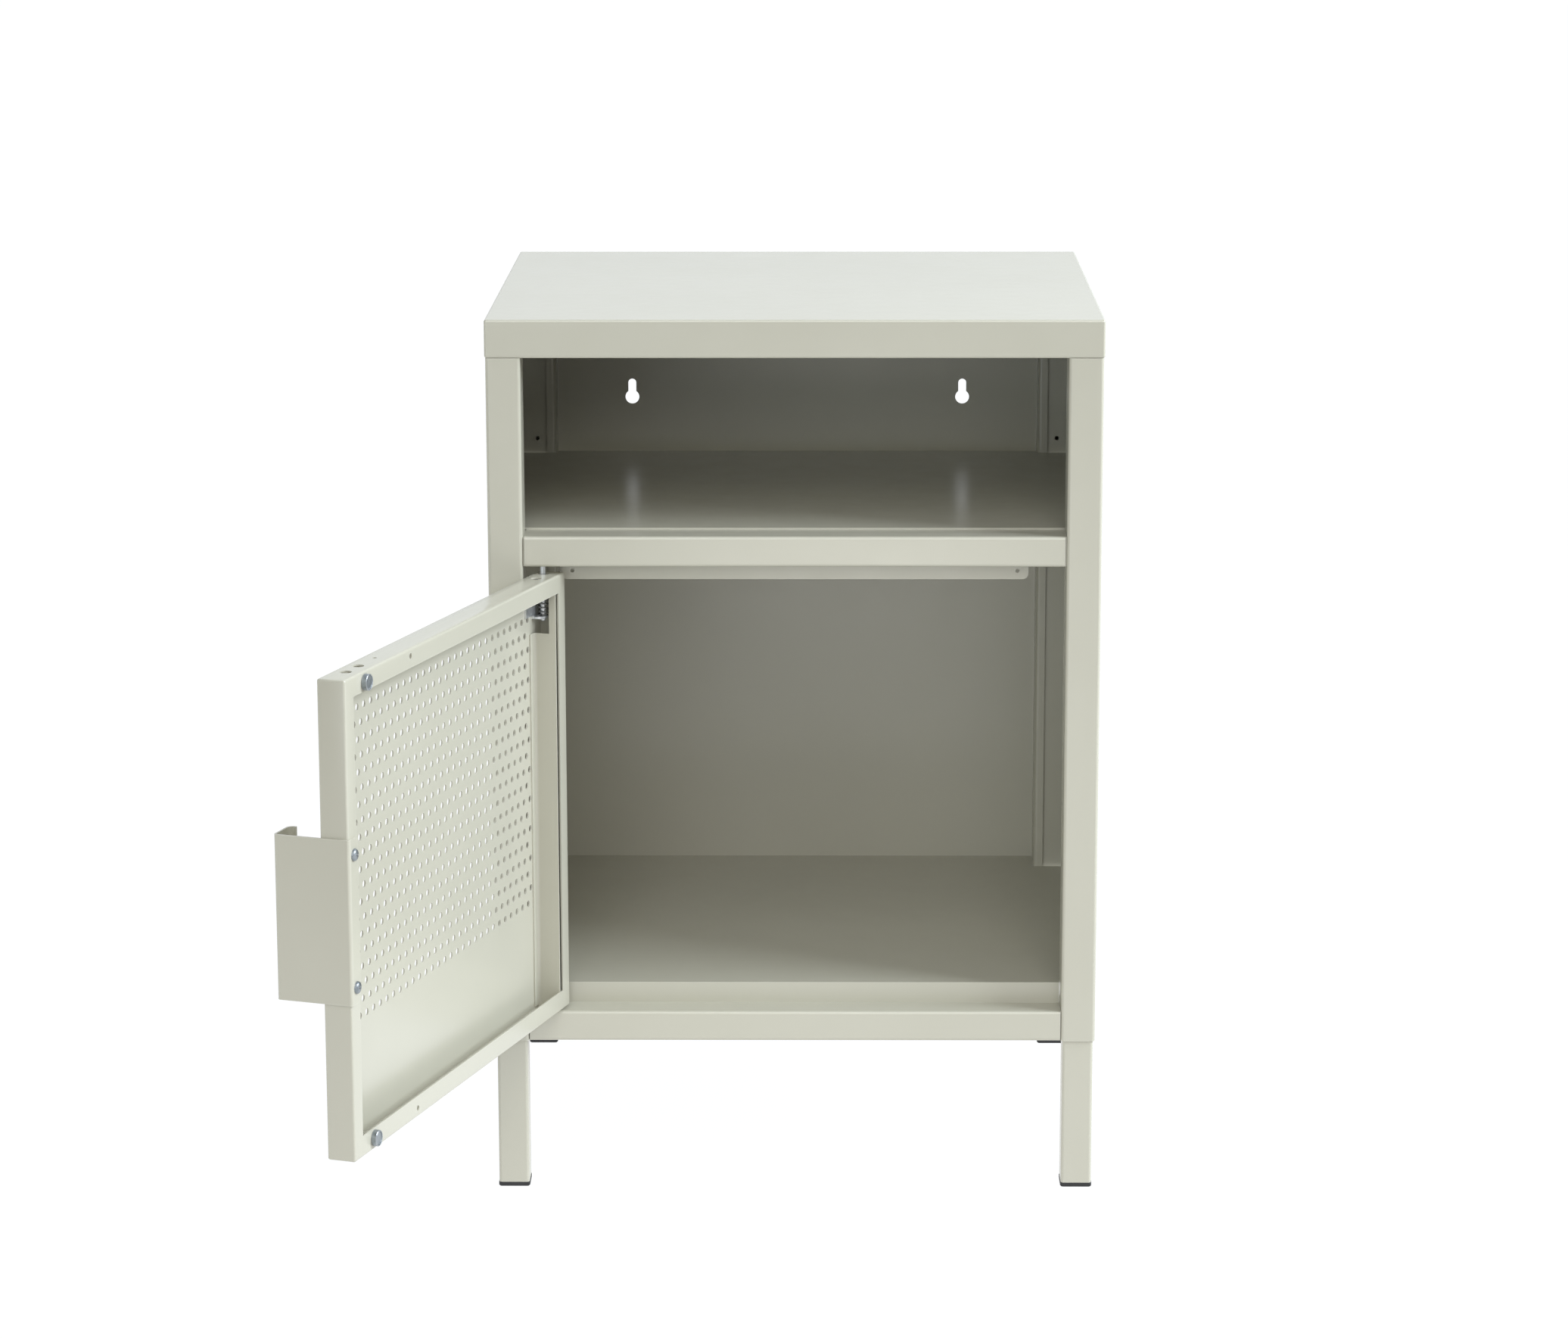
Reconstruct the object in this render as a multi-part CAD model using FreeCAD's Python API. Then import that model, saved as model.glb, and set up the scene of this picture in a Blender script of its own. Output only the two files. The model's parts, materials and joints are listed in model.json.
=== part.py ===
"""Locker cabinet: folded sheet-steel body on four square legs, open bay above, closed bay with a
perforated door below. Millimetres, +Z up from the floor. Drawn with X from the cabinet's centre
plane and Y back from its front face, then moved by FRAME_SHIFT, which puts the origin under the
middle of the whole object with its door standing open."""
import FreeCAD
import Part
import math
import os

V = FreeCAD.Vector
os.makedirs("parts", exist_ok=True)

# overall
WIDTH = 400.0
DEPTH = 360.0
HEIGHT = 585.0
CAP_H = 25.0
BODY_BOTTOM = 102.0
FRAME_SHIFT = V(53.0, -20.0, 0.0)

# sheet
T = 1.0
T_SIDE = 1.2
BEND = 1.0

# side panels: outer side plane, column width, folds
SIDE_X = 199.5
COL_X = 176.8
COL_FRONT = 0.5
COL_RETURN = 26.5
REAR_X = 173.5
REAR_Y = 359.5
REAR_LIP_Y = 325.6
REAR_LIP_X = 180.0

# legs
LEG = 20.3
LEG_WALL = 1.5
LEG_FRONT_Y = 1.7
LEG_REAR_Y = 328.0
FOOT_H = 3.0

# shelf and floor
SHELF_Z = 443.0
RAIL_H = 20.0
FLOOR_Z = 136.5
LEDGE_Z = 122.4
STRIKE_Y = 22.0
STRIKE_Z = 411.0
STRIKE_X = 153.0

# back panel
BACK_Y = 355.0
KEY_X = 119.5
KEY_Z = 480.0
KEY_R = 5.0
KEY_SLOT = 5.7
KEY_RISE = 13.2

# door, in its own coordinates: u from the hinge edge, v from the outer face
DOOR_W = 348.0
DOOR_T = 18.0
DOOR_Z0 = 124.0
DOOR_Z1 = 417.8
DOOR_X0 = -173.8
RETURN_W = 12.0
PIVOT_U = 9.5
PIVOT_V = 6.2
OPEN_DEG = 108.4
HOLE_D = 4.6
HOLE_PITCH = 10.0
HOLE_TOP_Z = 389.4
HOLE_ROWS = 20
HOLE_U0 = 24.0
TOP_HOLES = ((9.5, 7.0, 7.5), (26.5, 8.5, 7.0), (284.0, 8.5, 3.0), (307.6, 8.5, 7.5), (325.4, 8.5, 7.5))

# top pivot
PIN_R = 2.0
PIN_BOTTOM = 386.5
PIN_TOP = 428.0
EAR_Z = 388.6
EAR_T = 1.5
CLIP_Z = 414.4
CLIP_T = 0.8
SPRING_R = 3.1
WIRE_R = 0.4
SPRING_HALF_TURNS = 17

# handle
HANDLE_Z0 = 221.1
HANDLE_Z1 = 322.3
HANDLE_T = 1.2
HANDLE_REACH = 29.7
SCREW_U = 342.8
SCREW_Z = (231.3, 312.3)
MAGNET_U = 319.8
MAGNET_Z = (131.0, 411.3)


def box(x0, x1, y0, y1, z0, z1):
    """Box between two corners."""
    return Part.makeBox(x1 - x0, y1 - y0, z1 - z0, V(x0, y0, z0))


def rod(x, y, z0, z1, r):
    """Upright cylinder."""
    return Part.makeCylinder(r, z1 - z0, V(x, y, z0))


def rod_y(x, z, y0, y1, r):
    """Cylinder along Y."""
    return Part.makeCylinder(r, y1 - y0, V(x, y0, z), V(0, 1, 0))


def union(shapes):
    """Shapes joined into one solid."""
    return shapes[0].multiFuse(shapes[1:]).removeSplitter()


def side_points(points, shift):
    """The open line moved by shift to its left, with mitred corners."""
    moved = []
    last = len(points) - 1
    for i, (x, y) in enumerate(points):
        normals = []
        for a, b in ((i - 1, i), (i, i + 1)):
            if a < 0 or b > last:
                continue
            dx = points[b][0] - points[a][0]
            dy = points[b][1] - points[a][1]
            size = math.hypot(dx, dy)
            normals.append((-dy / size, dx / size))
        nx = sum(n[0] for n in normals)
        ny = sum(n[1] for n in normals)
        scale = shift * len(normals) / (nx * nx + ny * ny)
        if len(normals) == 2:
            scale = 2 * shift / (nx * nx + ny * ny)
        moved.append((x + nx * scale, y + ny * scale))
    return moved


def rounded_edges(points, radii):
    """Edges of an open line, each inner corner turned with its radius."""
    edges = []
    start = V(points[0][0], points[0][1], 0)
    for i in range(1, len(points) - 1):
        corner = V(points[i][0], points[i][1], 0)
        back = (V(points[i - 1][0], points[i - 1][1], 0) - corner).normalize()
        ahead = (V(points[i + 1][0], points[i + 1][1], 0) - corner).normalize()
        half = back.getAngle(ahead) / 2
        cut = radii[i] / math.tan(half)
        p = corner + back * cut
        q = corner + ahead * cut
        middle = (back + ahead).normalize()
        crown = corner + middle * (radii[i] / math.sin(half) - radii[i])
        edges.append(Part.makeLine(start, p))
        edges.append(Part.Arc(p, crown, q).toShape())
        start = q
    edges.append(Part.makeLine(start, V(points[-1][0], points[-1][1], 0)))
    return edges


def fold(points, t, length, bend=BEND, special=None):
    """Folded strip: the line is its outer face, every fold turns left, the sheet lies to its left."""
    inner = side_points(points, t)
    inside = [bend] * len(points)
    for i, r in (special or {}).items():
        inside[i] = r
    outside = [r + t for r in inside]
    edges = rounded_edges(points, outside)
    edges += rounded_edges(inner[::-1], inside[::-1])
    for a, b in ((points[0], inner[0]), (points[-1], inner[-1])):
        edges.append(Part.makeLine(V(a[0], a[1], 0), V(b[0], b[1], 0)))
    wire = Part.Wire(Part.__sortEdges__(edges))
    return Part.Face(wire).extrude(V(0, 0, length))


def along_x(shape, x0):
    """A profile drawn in Y and Z and extruded, laid along X from x0."""
    laid = shape.copy()
    laid.rotate(V(0, 0, 0), V(1, 1, 1), 120)
    laid.translate(V(x0, 0, 0))
    return laid


def mirrored(shape):
    """Mirror in the cabinet's centre plane."""
    return shape.mirror(V(0, 0, 0), V(1, 0, 0))


def save(name, shape):
    """Move the shape into the object's frame and write it."""
    done = shape.copy()
    done.translate(FRAME_SHIFT)
    done.exportStep("parts/" + name + ".step")


def save_door(name, shape):
    """Move a shape from the door's coordinates to the open door and write it."""
    done = shape.copy()
    done.translate(V(DOOR_X0, 0, 0))
    done.rotate(V(DOOR_X0 + PIVOT_U, PIVOT_V, 0), V(0, 0, 1), -OPEN_DEG)
    save(name, done)


def top_panel():
    """Cap: a shallow upturned tray with a narrow return all round its lower edge."""
    x = WIDTH / 2
    z0 = HEIGHT - CAP_H
    outer = box(-x, x, 0, DEPTH, z0, HEIGHT)
    outer = outer.makeFillet(1.6, outer.Edges)
    inner = box(-x + T_SIDE, x - T_SIDE, T_SIDE, DEPTH - T_SIDE, z0 + T_SIDE, HEIGHT - T_SIDE)
    mouth = box(-x + 28, x - 28, 28, DEPTH - 28, z0 - 1, z0 + T_SIDE)
    return outer.cut(union([inner, mouth]))


def side_panel():
    """Right side sheet: flat side with the front and rear columns folded from it."""
    points = [
        (COL_X, COL_RETURN),
        (COL_X, COL_FRONT),
        (SIDE_X, COL_FRONT),
        (SIDE_X, REAR_Y),
        (REAR_X, REAR_Y),
        (REAR_X, REAR_LIP_Y),
        (REAR_LIP_X, REAR_LIP_Y),
    ]
    panel = fold(points, T_SIDE, HEIGHT - CAP_H - BODY_BOTTOM)
    panel.translate(V(0, 0, BODY_BOTTOM))
    return panel


def back_panel():
    """Shallow pan between the rear columns, with two keyholes for wall screws."""
    x = REAR_X
    z1 = HEIGHT - CAP_H
    outer = box(-x, x, BACK_Y, REAR_Y, BODY_BOTTOM, z1)
    pan = outer.cut(box(-x + T, x - T, BACK_Y + T, REAR_Y + 1, BODY_BOTTOM + T, z1 - T))
    for cx in (-KEY_X, KEY_X):
        half = KEY_SLOT / 2
        top = KEY_Z + KEY_RISE - half
        slot = box(cx - half, cx + half, BACK_Y - 1, BACK_Y + 2, KEY_Z, top)
        tip = rod_y(cx, top, BACK_Y - 1, BACK_Y + 2, half)
        pan = pan.cut(union([rod_y(cx, KEY_Z, BACK_Y - 1, BACK_Y + 2, KEY_R), slot, tip]))
    return pan


def rail(z1, height, ledge, half):
    """Front rail: folded channel open to the back, with a welding tab at each end."""
    points = [(ledge, z1), (1.0, z1), (1.0, z1 - height), (16.0, z1 - height)]
    channel = along_x(fold(points, T, 2 * half), -half)
    tabs = []
    for s in (-1, 1):
        xs = sorted((s * (COL_X - 2.0), s * COL_X))
        tabs.append(box(xs[0], xs[1], 3.0, 26.0, z1 - height + 0.3, z1 - 0.3))
    return union([channel] + tabs)


def shelf_front_rail():
    """Rail under the shelf's front edge; the door's top pin runs in its lower fold."""
    body = rail(SHELF_Z, RAIL_H, 40.0, 175.8)
    return body.cut(rod(DOOR_X0 + PIVOT_U, PIVOT_V, SHELF_Z - RAIL_H - 1, SHELF_Z - RAIL_H + 2, PIN_R + 0.1))


def bottom_front_rail():
    """Rail across the foot of the cabinet; its ledge carries the door's bottom pin."""
    body = rail(LEDGE_Z, LEDGE_Z - BODY_BOTTOM, 40.0, 176.4)
    return body.cut(rod(DOOR_X0 + PIVOT_U, PIVOT_V, LEDGE_Z - 2, LEDGE_Z + 1, 2.6))


def shelf():
    """Shelf pan, resting on the rail's top fold, its side and rear edges turned down."""
    x = SIDE_X - T_SIDE
    z0 = SHELF_Z
    plate = box(-x, x, 28.0, 325.0, z0, z0 + T)
    tongue = box(-REAR_X + 0.3, REAR_X - 0.3, 324.0, 333.0, z0, z0 + T)
    hem = box(-REAR_X + 0.3, REAR_X - 0.3, 332.0, 333.0, z0 - 14, z0 + T)
    sides = [box(x - T, x, 44.0, 320.0, z0 - 14, z0 + T), box(-x, T - x, 44.0, 320.0, z0 - 14, z0 + T)]
    return union([plate, tongue, hem] + sides)


def strike_bar():
    """Angle hanging behind the shelf rail, which the door's upper magnet closes on."""
    points = [(34.0, SHELF_Z - T), (STRIKE_Y, SHELF_Z - T), (STRIKE_Y, STRIKE_Z)]
    bar = along_x(fold(points, T, 2 * STRIKE_X), -STRIKE_X)
    corners = [e for e in bar.Edges if abs(e.BoundBox.ZMin - STRIKE_Z) < 0.01 and e.BoundBox.ZLength < 0.01]
    corners = [e for e in corners if e.BoundBox.XLength < 0.01]
    bar = bar.makeFillet(4.0, corners)
    for s in (-1, 1):
        bar = bar.cut(rod_y(s * 145.8, 416.6, STRIKE_Y - 1, STRIKE_Y + 2, 1.3))
    return bar


def floor_tray():
    """Floor pan: raised above the ledge, front edge turned down to it, notched round the columns."""
    x = SIDE_X - T_SIDE
    z0 = FLOOR_Z - T
    front = box(-COL_X + 0.4, COL_X - 0.4, STRIKE_Y, 28.0, z0, FLOOR_Z)
    plate = box(-x, x, 27.0, 325.0, z0, FLOOR_Z)
    rear = box(-REAR_X + 0.3, REAR_X - 0.3, 324.0, BACK_Y, z0, FLOOR_Z)
    lip = box(-COL_X + 0.4, COL_X - 0.4, STRIKE_Y, STRIKE_Y + T, LEDGE_Z, FLOOR_Z)
    tail = box(-REAR_X + 0.3, REAR_X - 0.3, BACK_Y - T, BACK_Y, z0 - 14, FLOOR_Z)
    sides = [box(x - T, x, 30.0, 320.0, z0 - 14, FLOOR_Z), box(-x, T - x, 30.0, 320.0, z0 - 14, FLOOR_Z)]
    return union([front, plate, rear, lip, tail] + sides)


def leg(y0, hole):
    """Right-hand square tube post, standing inside a column from its foot up to the cap."""
    x0 = SIDE_X - T_SIDE - LEG
    z1 = HEIGHT - CAP_H
    tube = box(x0, x0 + LEG, y0, y0 + LEG, FOOT_H, z1)
    tube = tube.makeFillet(2.0, [e for e in tube.Edges if e.BoundBox.ZLength > 50])
    w = LEG_WALL
    tube = tube.cut(box(x0 + w, x0 + LEG - w, y0 + w, y0 + LEG - w, FOOT_H - 1, z1 + 1))
    if hole:
        tube = tube.cut(rod_y(187.0, 454.0, y0 - 1, y0 + w + 1, 1.55))
    return tube


def foot(y0):
    """Right-hand plastic glide: a plug in the tube with a flange under its end."""
    x0 = SIDE_X - T_SIDE - LEG
    flange = box(x0 - 0.3, x0 + LEG + 0.3, y0 - 0.3, y0 + LEG + 0.3, 0, FOOT_H)
    flange = flange.makeFillet(2.0, [e for e in flange.Edges if e.BoundBox.ZLength > 1])
    flange = flange.makeChamfer(0.7, [e for e in flange.Edges if e.BoundBox.ZMax < 0.01])
    w = LEG_WALL
    plug = box(x0 + w, x0 + LEG - w, y0 + w, y0 + LEG - w, FOOT_H - 1, FOOT_H + 15)
    return union([flange, plug])


def door_panel():
    """Door: one folded tray, perforated over its upper part, open towards the cabinet."""
    w = DOOR_W
    r = RETURN_W
    skin = box(0, w, 0, DOOR_T, DOOR_Z0, DOOR_Z1)
    skin = skin.makeFillet(1.4, skin.Edges)
    cuts = [box(T, w - T, T, DOOR_T - T, DOOR_Z0 + T, DOOR_Z1 - T)]
    cuts.append(box(r, w - r, DOOR_T - 2 * T, DOOR_T + 1, DOOR_Z0 + r + 1, DOOR_Z1 - r))
    for u, v, d in TOP_HOLES:
        cuts.append(rod(u, v, DOOR_Z1 - 2, DOOR_Z1 + 1, d / 2))
    cuts.append(rod(PIVOT_U, PIVOT_V, DOOR_Z0 - 1, DOOR_Z0 + 2, 2.5))
    for u, z, d in ((252.0, 413.0, 3.5), (254.0, 129.4, 3.5)):
        cuts.append(rod_y(u, z, DOOR_T - 2, DOOR_T + 1, d / 2))
    for z in SCREW_Z:
        cuts.append(rod_y(SCREW_U, z, DOOR_T - 2, DOOR_T + 1, 2.1))
    for z in MAGNET_Z:
        cuts.append(rod_y(MAGNET_U, z, DOOR_T - 2, DOOR_T + 1, 1.5))
    for row in range(HOLE_ROWS):
        odd = row % 2
        for k in range(31 - odd):
            u = HOLE_U0 + HOLE_PITCH * (k + 0.5 * odd)
            cuts.append(rod_y(u, HOLE_TOP_Z - HOLE_PITCH * row, -1, T + 1, HOLE_D / 2))
    return skin.cut(Part.makeCompound(cuts))


def door_stiffener():
    """Angle welded up the hinge side of the door, cut back at the top round the spring pin."""
    wall_u = 14.3
    z0 = DOOR_Z0 + T
    z1 = DOOR_Z1 - T
    points = [(wall_u, 17.0), (wall_u, T), (21.6, T)]
    angle = fold(points, T, z1 - z0, bend=2.0)
    angle.translate(V(0, 0, z0))
    notch = box(wall_u - 1, 30.0, 0, 12.5, 379.0, DOOR_Z1)
    heel = box(wall_u + 2.0, 30.0, 0, 17.0, z0 - 1, DOOR_Z0 + 3.0)
    return angle.cut(union([notch, heel]))


def hinge_bracket():
    """Plated bracket: web welded to the door sheet and two ears that guide the pin."""
    web = box(3.0, 17.0, T, T + 1.2, EAR_Z, DOOR_Z1 - T)
    wing = box(16.0, 29.0, T, T + 1.2, 391.0, 404.0)
    pieces = [web, wing]
    for z in (EAR_Z, DOOR_Z1 - T - EAR_T):
        pieces.append(box(3.5, 16.5, T, 3.0, z, z + EAR_T))
        pieces.append(rod(10.0, 3.0, z, z + EAR_T, 6.5).common(box(0, 20, T, 12, z, z + EAR_T)))
    body = union(pieces)
    body = body.cut(rod(12.6, 3.6, EAR_Z - 1, EAR_Z + 2, 1.0))
    return body.cut(rod(PIVOT_U, PIVOT_V, EAR_Z - 1, DOOR_Z1 + 1, PIN_R + 0.1))


def top_hinge_pin():
    """Sliding pivot pin: pulled down against its spring to lift the door out."""
    pin = rod(PIVOT_U, PIVOT_V, PIN_BOTTOM, PIN_TOP, PIN_R)
    return pin.makeChamfer(0.5, [e for e in pin.Edges if e.BoundBox.ZLength < 0.01])


def pin_clip():
    """Retaining ring on the pin, on which the spring bears."""
    ring = rod(PIVOT_U, PIVOT_V, CLIP_Z, CLIP_Z + CLIP_T, 3.7)
    return ring.cut(rod(PIVOT_U, PIVOT_V, CLIP_Z - 1, CLIP_Z + 2, PIN_R))


def hinge_spring():
    """Compression spring between the lower ear and the ring: level end turns, rising turns between,
    made of half turns that meet with a common tangent."""
    low = EAR_Z + EAR_T + 0.1 + WIRE_R
    high = CLIP_Z - 0.05 - WIRE_R
    rise = (high - low) / SPRING_HALF_TURNS
    climbs = [0.0] + [rise] * SPRING_HALF_TURNS + [0.0]
    halves = []
    z = low
    side = 1
    for climb in climbs:
        start = V(side * SPRING_R, 0, z)
        middle = V(0, 0, z + climb / 2)
        axis = (start - middle).cross(V(0, side, 0))
        section = Part.Face(Part.Wire([Part.makeCircle(WIRE_R, start, V(0, 1, 0))]))
        halves.append(section.revolve(middle, axis, 180))
        z += climb
        side = -side
    coil = union(halves)
    coil.translate(V(PIVOT_U, PIVOT_V, 0))
    return coil


def bottom_hinge_pin():
    """Shouldered pivot riveted in the door's lower flange, turning in the ledge."""
    z = DOOR_Z0
    shank = rod(PIVOT_U, PIVOT_V, 118.0, z + 1.5, 2.5)
    collar = rod(PIVOT_U, PIVOT_V, LEDGE_Z + 0.1, z, 4.0)
    head = rod(PIVOT_U, PIVOT_V, z + T, z + 2.4, 3.8)
    return union([shank, collar, head])


def handle():
    """Pull: tab on the door's inner fold, plate past the free edge, front folded back and curled."""
    u1 = DOOR_W + HANDLE_T
    v1 = DOOR_T + HANDLE_T
    points = [
        (327.5, -24.3),
        (327.5, -HANDLE_REACH),
        (u1, -HANDLE_REACH),
        (u1, v1),
        (u1 - 12.0, v1),
    ]
    pull = fold(points, HANDLE_T, HANDLE_Z1 - HANDLE_Z0, special={1: 3.0})
    pull.translate(V(0, 0, HANDLE_Z0))
    ends = [e for e in pull.Edges if e.BoundBox.XLength < 0.01 and e.BoundBox.ZLength < 0.01]
    tab = [e for e in ends if abs(e.BoundBox.XMin - (u1 - 12.0)) < 0.01]
    pull = pull.makeFillet(4.5, tab)
    for z in SCREW_Z:
        pull = pull.cut(rod_y(SCREW_U, z, DOOR_T - 1, v1 + 1, 2.1))
    return pull


def handle_screws():
    """Two M4 cross-recess pan-head screws through the handle's tab and the door's fold."""
    face = DOOR_T + HANDLE_T
    screws = []
    for z in SCREW_Z:
        head = rod_y(SCREW_U, z, face, face + 2.2, 3.8)
        head = head.makeFillet(1.2, [e for e in head.Edges if e.BoundBox.YMin > face + 2.1])
        for w, h in ((3.8, 0.9), (0.9, 3.8)):
            head = head.cut(box(SCREW_U - w / 2, SCREW_U + w / 2, face + 1.0, face + 3, z - h / 2, z + h / 2))
        screws.append(union([head, rod_y(SCREW_U, z, face - 8.0, face + 0.5, 2.0)]))
    return Part.makeCompound(screws)


def handle_nuts():
    """Two hexagon nuts behind the door's fold."""
    nuts = []
    for z in SCREW_Z:
        r = 3.5 / math.cos(math.pi / 6)
        turns = [math.radians(a) for a in range(30, 391, 60)]
        ring = [V(r * math.cos(a), 0, r * math.sin(a)) for a in turns]
        nut = Part.Face(Part.makePolygon(ring)).extrude(V(0, 3.2, 0))
        nut.translate(V(SCREW_U, DOOR_T - T - 3.2, z))
        nuts.append(nut.cut(rod_y(SCREW_U, z, 10, 18, 2.0)))
    return Part.makeCompound(nuts)


def door_magnet(z):
    """Cup magnet on the door's fold, its stud riveted through the sheet."""
    cup = rod_y(MAGNET_U, z, DOOR_T, DOOR_T + 3.4, 5.0)
    cup = cup.cut(rod_y(MAGNET_U, z, DOOR_T + 3.1, DOOR_T + 4, 4.0))
    return union([cup, rod_y(MAGNET_U, z, DOOR_T - 2.5, DOOR_T + 1, 1.5)])


save("top_panel", top_panel())
save("right_side_panel", side_panel())
save("left_side_panel", mirrored(side_panel()))
save("back_panel", back_panel())
save("shelf", shelf())
save("shelf_front_rail", shelf_front_rail())
save("strike_bar", strike_bar())
save("floor_tray", floor_tray())
save("bottom_front_rail", bottom_front_rail())
for row_name, leg_y, has_hole in (("front", LEG_FRONT_Y, False), ("rear", LEG_REAR_Y, True)):
    save("leg_" + row_name + "_right", leg(leg_y, has_hole))
    save("leg_" + row_name + "_left", mirrored(leg(leg_y, has_hole)))
    save("foot_" + row_name + "_right", foot(leg_y))
    save("foot_" + row_name + "_left", mirrored(foot(leg_y)))
save_door("door_panel", door_panel())
save_door("door_stiffener", door_stiffener())
save_door("hinge_bracket", hinge_bracket())
save_door("top_hinge_pin", top_hinge_pin())
save_door("pin_clip", pin_clip())
save_door("hinge_spring", hinge_spring())
save_door("bottom_hinge_pin", bottom_hinge_pin())
save_door("handle", handle())
save_door("handle_screws", handle_screws())
save_door("handle_nuts", handle_nuts())
save_door("door_magnet_bottom", door_magnet(MAGNET_Z[0]))
save_door("door_magnet_top", door_magnet(MAGNET_Z[1]))
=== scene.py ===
import bmesh
import bpy
import json
from math import cos, pi, radians, sin
from mathutils import Matrix, Vector


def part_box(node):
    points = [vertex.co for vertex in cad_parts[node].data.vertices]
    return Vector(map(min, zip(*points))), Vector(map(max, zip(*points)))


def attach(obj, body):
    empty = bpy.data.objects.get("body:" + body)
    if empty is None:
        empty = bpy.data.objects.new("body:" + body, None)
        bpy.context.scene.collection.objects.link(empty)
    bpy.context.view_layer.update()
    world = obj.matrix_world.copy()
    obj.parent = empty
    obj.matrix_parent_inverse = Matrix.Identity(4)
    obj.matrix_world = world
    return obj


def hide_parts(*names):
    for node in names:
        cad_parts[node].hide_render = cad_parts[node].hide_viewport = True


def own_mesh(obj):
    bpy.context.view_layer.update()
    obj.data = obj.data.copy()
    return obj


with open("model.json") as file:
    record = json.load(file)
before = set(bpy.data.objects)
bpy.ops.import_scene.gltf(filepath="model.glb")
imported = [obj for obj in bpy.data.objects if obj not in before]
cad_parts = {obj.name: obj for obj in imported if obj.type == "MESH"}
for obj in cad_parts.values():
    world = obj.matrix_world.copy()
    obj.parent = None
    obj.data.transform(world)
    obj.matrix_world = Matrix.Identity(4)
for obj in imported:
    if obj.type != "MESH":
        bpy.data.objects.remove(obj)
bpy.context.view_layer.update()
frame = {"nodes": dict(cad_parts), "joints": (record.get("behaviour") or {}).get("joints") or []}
cad = frame["nodes"]

# ---------------------------------------------------------------------------------------------
# Side panels: two 1.2 mm steel sheets, each folded into a front and a rear column, and baked
# with the warm grey powder coat that covers every sheet, rail and leg of the cabinet.
COAT_TONES = ((0.480, 0.468, 0.388, 1), (0.492, 0.480, 0.400, 1))
# Edge tone: partly thinner powder on folds and cut edges, partly a painted highlight along them and
# round the holes.
COAT_EDGE_THIN_POWDER_AND_HIGHLIGHT_TONE = (0.580, 0.570, 0.500, 1)
COAT_CLOUDS = 9.0
COAT_PATCHES = 55.0
ORANGE_PEEL = 420.0
COAT_GRAIN = 2600.0
COAT_ROUGHNESS = (0.225, 0.255)
COAT_EDGE_WIDTH = 0.0012
COAT_GLOSS_INDEX = 1.65


def add_node(tree, kind, **inputs):
    """Node of a kind, with values set on its inputs by name."""
    made = tree.nodes.new(kind)
    for name, value in inputs.items():
        made.inputs[name.replace("_", " ")].default_value = value
    return made


def wire(tree, source, target):
    """Link one socket to another."""
    tree.links.new(source, target)


def noise(tree, coords, scale, detail, roughness=0.5):
    """Cloudy pattern of so many spots to the metre."""
    made = add_node(tree, "ShaderNodeTexNoise", Scale=scale, Detail=detail, Roughness=roughness)
    wire(tree, coords, made.inputs["Vector"])
    return made.outputs["Fac"]


def spread(tree, value, low, high, from_low=0.3, from_high=0.7):
    """The value's usual span mapped softly to low .. high."""
    made = add_node(
        tree, "ShaderNodeMapRange", From_Min=from_low, From_Max=from_high, To_Min=low, To_Max=high
    )
    made.interpolation_type = "SMOOTHSTEP"
    wire(tree, value, made.inputs["Value"])
    return made.outputs["Result"]


def blend_tones(tree, factor, first, second):
    """Colour between two tones, each a colour or another node's output."""
    made = tree.nodes.new("ShaderNodeMix")
    made.data_type = "RGBA"
    wire(tree, factor, made.inputs["Factor"])
    for socket, tone in ((made.inputs[6], first), (made.inputs[7], second)):
        if isinstance(tone, tuple):
            socket.default_value = tone
        else:
            wire(tree, tone, socket)
    return made.outputs[2]


def bumps(tree, layers):
    """Bump normals laid over each other: (height, strength, depth in metres)."""
    normal = None
    for height, strength, depth in layers:
        made = add_node(tree, "ShaderNodeBump", Strength=strength, Distance=depth)
        wire(tree, height, made.inputs["Height"])
        if normal:
            wire(tree, normal, made.inputs["Normal"])
        normal = made.outputs["Normal"]
    return normal


def edge_wear_and_highlight_mask(tree, radius, gain):
    """Gain along folds and cut edges, 0 on flat sheet; the finishes use it to paint lighter edges, part
    real edge finish (thin powder, worn plating) and part painted highlight.
    """
    rounded = add_node(tree, "ShaderNodeBevel", Radius=radius)
    rounded.samples = 4
    true_normal = tree.nodes.new("ShaderNodeNewGeometry").outputs["Normal"]
    facing = tree.nodes.new("ShaderNodeVectorMath")
    facing.operation = "DOT_PRODUCT"
    wire(tree, rounded.outputs["Normal"], facing.inputs[0])
    wire(tree, true_normal, facing.inputs[1])
    return spread(tree, facing.outputs["Value"], gain, 0.0, 0.86, 0.995)


def new_finish(name):
    """Empty material: itself, its tree, its shader and its Object coordinates."""
    finish = bpy.data.materials.new(name)
    finish.use_nodes = True
    tree = finish.node_tree
    shader = tree.nodes["Principled BSDF"]
    return finish, tree, shader, tree.nodes.new("ShaderNodeTexCoord").outputs["Object"]


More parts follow.
